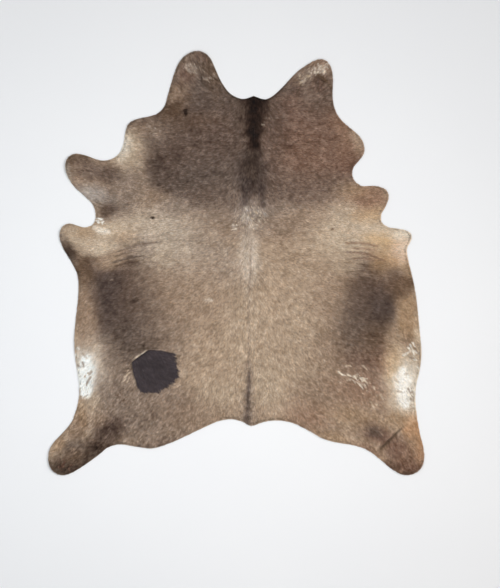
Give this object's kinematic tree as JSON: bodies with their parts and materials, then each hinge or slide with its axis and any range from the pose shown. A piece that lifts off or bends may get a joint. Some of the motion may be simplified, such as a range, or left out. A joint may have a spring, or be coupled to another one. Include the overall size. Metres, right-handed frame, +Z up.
{
  "type": "cowhide rug",
  "caption": "Whole hair-on cowhide laid flat as a rug, in its natural outline, taupe brown with a dark mane, pale belly edges and one black sewn-in repair piece.",
  "frame": {"origin": "middle of the bounding box on the floor, under the skin", "axes": "+Z up out of the hair, +Y to the neck end, +X to the right of someone looking down on the hair with the neck away from them"},
  "size_m": [1.8747, 2.1149, 0.0129],
  "materials": {
    "hide_hair": "short glossy hair lying flat, taupe brown with darker flanks and mane and cream belly edges; suede leather underside",
    "patch_hair": "short near-black hair lying flat"
  },
  "bodies": {
    "root": {"hide": "hide_hair", "patch": "patch_hair"}
  },
  "joints": []
}
